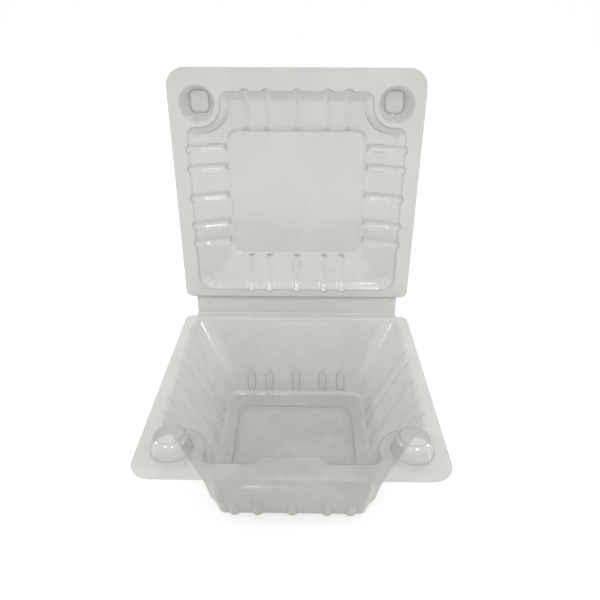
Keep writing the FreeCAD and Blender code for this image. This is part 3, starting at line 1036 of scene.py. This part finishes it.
@dataclass
class HingeFold:
    """The thin folded line of sheet between the tray's band and the lid's."""

    tray_edge: tuple[float, float] = (5.35, 0.0)
    bulge: float = 0.1
    rows: int = 7

    def build(self, place: Matrix, lid: Lid) -> bpy.types.Object:
        """Make the fold and return it.

        Args:
            place: Places the drawn frame in the pack's, in metres.
            lid: The lid, whose edge the fold meets.

        Returns:
            The object.
        """
        edge = lid.swing() @ Vector((0.0, -lid.flange.band_end, lid.low))
        start = np.array(self.tray_edge)
        stop = np.array([edge.y, edge.z])
        share = np.linspace(0, 1, self.rows)[:, None]
        path = start * (1 - share) + stop * share
        away = np.array([stop[1] - start[1], -(stop[0] - start[0])])
        path += away / np.linalg.norm(away) * self.bulge * np.sin(math.pi * share)
        columns = lid.flange.columns()
        rows = np.empty((self.rows, len(columns), 3))
        rows[..., 0] = columns
        rows[..., 1] = path[:, :1]
        rows[..., 2] = path[:, 1:]
        sheet = SheetMesh()
        sheet.grid(rows, closed=False)
        made = sheet.build("hinge_fold", place)
        ends = [place @ Vector((0.0, *point)) for point in (start.tolist(), stop.tolist())]
        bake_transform(made, Body.TRAY.value, Body.LID.value, start=tuple(ends[0]), end=tuple(ends[1]))
        return made


# ---- finishes


class Wire:
    """A value in a shader, so that its maths reads as Python."""

    def __init__(self, graph: Graph, socket: bpy.types.NodeSocket) -> None:
        """Wrap a socket of a graph."""
        self.graph = graph
        self.socket = socket

    def _math(self, operation: str, first: Wire | float, second: Wire | float) -> Wire:
        """Add a Math node."""
        return self.graph.add("ShaderNodeMath", {"operation": operation}, {0: first, 1: second})

    def __add__(self, other: Wire | float) -> Wire:
        """Sum."""
        return self._math("ADD", self, other)

    def __radd__(self, other: float) -> Wire:
        """Sum, reflected."""
        return self._math("ADD", other, self)

    def __sub__(self, other: Wire | float) -> Wire:
        """Difference."""
        return self._math("SUBTRACT", self, other)

    def __mul__(self, other: Wire | float) -> Wire:
        """Product."""
        return self._math("MULTIPLY", self, other)

    def between(self, low: float, high: float) -> Wire:
        """Smooth step from 0 at low to 1 at high."""
        return self.graph.add("ShaderNodeMapRange", {"interpolation_type": "SMOOTHSTEP"},
                              {"Value": self, "From Min": low, "From Max": high})


class Graph:
    """The nodes of one material or of the world."""

    def __init__(self, tree: bpy.types.NodeTree) -> None:
        """Start with an empty tree."""
        self.tree = tree
        tree.nodes.clear()

    def add(self, kind: str, settings: dict | None = None, inputs: dict | None = None,
            output: int | str = 0) -> Wire:
        """Add a node.

        Args:
            kind: Type of the node.
            settings: Its settings, which are set first.
            inputs: Values or wires for its sockets, by name or number.
            output: The socket to return.

        Returns:
            The wire of the chosen output.
        """
        node = self.tree.nodes.new(kind)
        for name, value in (settings or {}).items():
            setattr(node, name, value)
        for name, value in (inputs or {}).items():
            if isinstance(value, Wire):
                self.tree.links.new(value.socket, node.inputs[name])
            else:
                node.inputs[name].default_value = value
        return Wire(self, node.outputs[output]) if node.outputs else Wire(self, node.inputs[0])

    def seen(self) -> Wire:
        """1 where the ray comes from the camera, a reflection or a see-through surface."""
        rays = [self.add("ShaderNodeLightPath", output=f"Is {kind} Ray")
                for kind in ("Camera", "Glossy", "Transmission")]
        return rays[0] + rays[1] + rays[2]

    def mix(self, share: Wire | float, first: Wire | tuple, second: Wire | tuple) -> Wire:
        """Mix two colours.

        Args:
            share: How much of the second colour, from 0 to 1.
            first: The first colour.
            second: The second colour.

        Returns:
            The wire of the mixed colour.
        """
        return self.add("ShaderNodeMix", {"data_type": "RGBA"},
                        {"Factor": share, 6: first, 7: second}, output=2)


def grey(red: float, green: float, blue: float) -> tuple[float, float, float, float]:
    """A colour given in 0 to 255 steps, as linear light."""
    def linear(step: float) -> float:
        """One channel as linear light."""
        share = step / 255
        return share / 12.92 if share <= 0.04045 else ((share + 0.055) / 1.055) ** 2.4
    return (linear(red), linear(green), linear(blue), 1.0)


@dataclass(frozen=True)
class ClearSheet:
    """Thin clear formed sheet: faint grey body, glossy skin, painted shade along its folds."""

    name: str = "clear_sheet"
    body: tuple[float, float, float] = (175.0, 173.0, 167.0)
    haze: tuple[float, float, float] = (188.0, 186.0, 181.0)
    # Painted shade: the darker grey that tight folds are mixed towards, standing in for the dark lines bent
    # clear sheet shows.
    fold: tuple[float, float, float] = (150.0, 148.0, 144.0)
    rim: tuple[float, float, float] = (176.0, 176.0, 172.0)
    alpha: float = 0.78
    # Painted shade: extra alpha along tight folds.
    fold_shade_alpha: float = 0.1
    roughness: float = 0.07
    wave: float = 0.0005
    sheen: float = 0.95

    def material(self) -> bpy.types.Material:
        """Make the material."""
        made = bpy.data.materials.new(self.name)
        made.use_nodes = True
        graph = Graph(made.node_tree)
        place = graph.add("ShaderNodeTexCoord", output="Object")
        cloud = graph.add("ShaderNodeTexNoise", inputs={
            "Vector": place, "Scale": 42.0, "Detail": 3.0, "Roughness": 0.55})
        drawn = graph.add("ShaderNodeTexNoise", inputs={
            "Vector": place, "Scale": 320.0, "Detail": 2.0, "Roughness": 0.5})
        fine = graph.add("ShaderNodeTexNoise", inputs={
            "Vector": place, "Scale": 1900.0, "Detail": 2.0, "Roughness": 0.6})
        fold = graph.add("ShaderNodeAttribute", {"attribute_name": Mark.FOLD.value}, output="Fac")
        rim = graph.add("ShaderNodeAttribute", {"attribute_name": Mark.RIM.value}, output="Fac")
        # Painted shade: the sheet is darkened and made denser where it bends tightly.
        crease = fold.between(0.4, 1.15)
        colour = graph.mix(cloud.between(0.3, 0.72), grey(*self.body), grey(*self.haze))
        colour = graph.mix(crease * 0.7, colour, grey(*self.fold))
        colour = graph.mix(rim, colour, grey(*self.rim))
        alpha = self.alpha + crease * self.fold_shade_alpha + (cloud - 0.5) * 0.1
        rough = self.roughness + drawn * 0.1 + fine * 0.04
        height = cloud + drawn * 0.12 + fine * 0.012
        bump = graph.add("ShaderNodeBump", inputs={
            "Strength": 0.6, "Distance": self.wave, "Height": height})
        shader = graph.add("ShaderNodeBsdfPrincipled", inputs={
            "Base Color": colour, "Roughness": rough, "Alpha": alpha, "Normal": bump,
            "IOR": 1.575, "Specular IOR Level": self.sheen})
        graph.add("ShaderNodeOutputMaterial", inputs={"Surface": shader})
        return made


@dataclass(frozen=True)
class PaleFloor:
    """A white floor that keeps the object's shadow."""

    name: str = "studio_floor"
    glow: float = 0.4
    body: float = 0.75

    def material(self) -> bpy.types.Material:
        """Make the material."""
        made = bpy.data.materials.new(self.name)
        made.use_nodes = True
        graph = Graph(made.node_tree)
        place = graph.add("ShaderNodeTexCoord", output="Object")
        grain = graph.add("ShaderNodeTexNoise", inputs={"Vector": place, "Scale": 90.0})
        tone = graph.mix(grain, (self.body, self.body, self.body, 1.0),
                         (self.body + 0.01, self.body + 0.01, self.body + 0.01, 1.0))
        seen = graph.seen()
        matt = graph.add("ShaderNodeBsdfDiffuse", inputs={"Color": tone})
        lit = graph.add("ShaderNodeEmission", inputs={
            "Color": (1.0, 1.0, 1.0, 1.0), "Strength": seen * self.glow})
        both = graph.add("ShaderNodeAddShader", inputs={0: matt, 1: lit})
        graph.add("ShaderNodeOutputMaterial", inputs={"Surface": both})
        return made


# ---- studio


@dataclass(frozen=True)
class Lamp:
    """One soft lamp, aimed at the pack."""

    name: str
    place: tuple[float, float, float]
    size: float
    power: float


@dataclass
class Studio:
    """Floor, light and camera."""

    floor_half: float = 3.0
    room: float = 0.88
    target: tuple[float, float, float] = (0.0, 0.0, 0.09)
    lamps: tuple[Lamp, ...] = (
        Lamp("key_lamp", (0.32, -1.0, 0.85), 0.24, 1.6),
        Lamp("side_lamp", (-0.4, -0.95, 0.85), 0.17, 0.8),
        Lamp("top_lamp", (-0.15, 0.2, 1.2), 0.22, 1.1),
        Lamp("right_fill", (1.0, -0.05, 0.5), 0.2, 1.5),
        Lamp("left_fill", (-1.0, -0.05, 0.5), 0.2, 1.1),
    )
    eye: tuple[float, float, float] = (0.0052, -0.24987, 0.2191)
    elevation: float = 27.436
    yaw: float = -0.56
    roll: float = 0.2
    lens: float = 34.73

    def floor(self) -> None:
        """Lay the floor."""
        mesh = bpy.data.meshes.new("studio_floor")
        h = self.floor_half
        mesh.from_pydata([(-h, -h, 0), (h, -h, 0), (h, h, 0), (-h, h, 0)], [], [(0, 1, 2, 3)])
        made = bpy.data.objects.new("studio_floor", mesh)
        made.location.z = -0.0002
        made.data.materials.append(PaleFloor().material())
        bpy.context.scene.collection.objects.link(made)

    def light(self) -> None:
        """Hang the lamps and fill the room with light."""
        for lamp in self.lamps:
            data = bpy.data.lights.new(lamp.name, "AREA")
            data.shape = "DISK"
            data.size = lamp.size
            data.energy = lamp.power
            made = bpy.data.objects.new(lamp.name, data)
            made.location = lamp.place
            aim = Vector(self.target) - Vector(lamp.place)
            made.rotation_mode = "QUATERNION"
            made.rotation_quaternion = aim.to_track_quat("-Z", "Y")
            bpy.context.scene.collection.objects.link(made)
        world = bpy.data.worlds.new("studio")
        bpy.context.scene.world = world
        world.use_nodes = True
        graph = Graph(world.node_tree)
        strength = self.room + graph.seen() * (1.0 - self.room)
        back = graph.add("ShaderNodeBackground", inputs={
            "Color": (1.0, 1.0, 1.0, 1.0), "Strength": strength})
        graph.add("ShaderNodeOutputWorld", inputs={"Surface": back})

    def camera(self) -> None:
        """Stand the camera where the photograph was taken."""
        yaw, tilt, roll = (math.radians(a) for a in (self.yaw, self.elevation, self.roll))
        turn = Matrix.Rotation(yaw, 3, "Z").transposed()
        right = turn @ Vector((1.0, 0.0, 0.0))
        down = turn @ Vector((0.0, -math.sin(tilt), -math.cos(tilt)))
        ahead = turn @ Vector((0.0, math.cos(tilt), -math.sin(tilt)))
        across = right * math.cos(roll) - down * math.sin(roll)
        below = right * math.sin(roll) + down * math.cos(roll)
        stand = Matrix((across, -below, -ahead)).transposed().to_4x4()
        stand.translation = Vector(self.eye)
        data = bpy.data.cameras.new("camera")
        data.lens = self.lens
        data.sensor_width = 36.0
        data.clip_start = 0.01
        made = bpy.data.objects.new("camera", data)
        made.matrix_world = stand
        bpy.context.scene.collection.objects.link(made)
        bpy.context.scene.camera = made


def main() -> None:
    """Build the pack and its studio."""
    logging.basicConfig(level=logging.INFO, format="%(name)s %(message)s")
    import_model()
    low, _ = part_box(Body.TRAY.value)
    tray, lid = Tray(), Lid()
    shift = Vector((0.0, low.y + tray.flange.front * MM, low.z + (tray.depth + 0.45) * MM))
    place = Matrix.Translation(shift) @ Matrix.Scale(MM, 4)
    sheet = ClearSheet().material()
    tray_sheet = tray.build("tray_sheet", place)
    lid_sheet = lid.build("lid_sheet", place @ lid.swing())
    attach(tray_sheet, Body.TRAY.value)
    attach(lid_sheet, Body.LID.value)
    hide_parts(Body.TRAY.value)
    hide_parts(Body.LID.value)
    fold = HingeFold().build(place, lid)
    for piece in (tray_sheet, lid_sheet, fold):
        piece.data.materials.append(sheet)
    studio = Studio()
    studio.floor()
    studio.light()
    studio.camera()
    bpy.context.scene.view_settings.view_transform = "Standard"


if __name__ == "__main__":
    main()
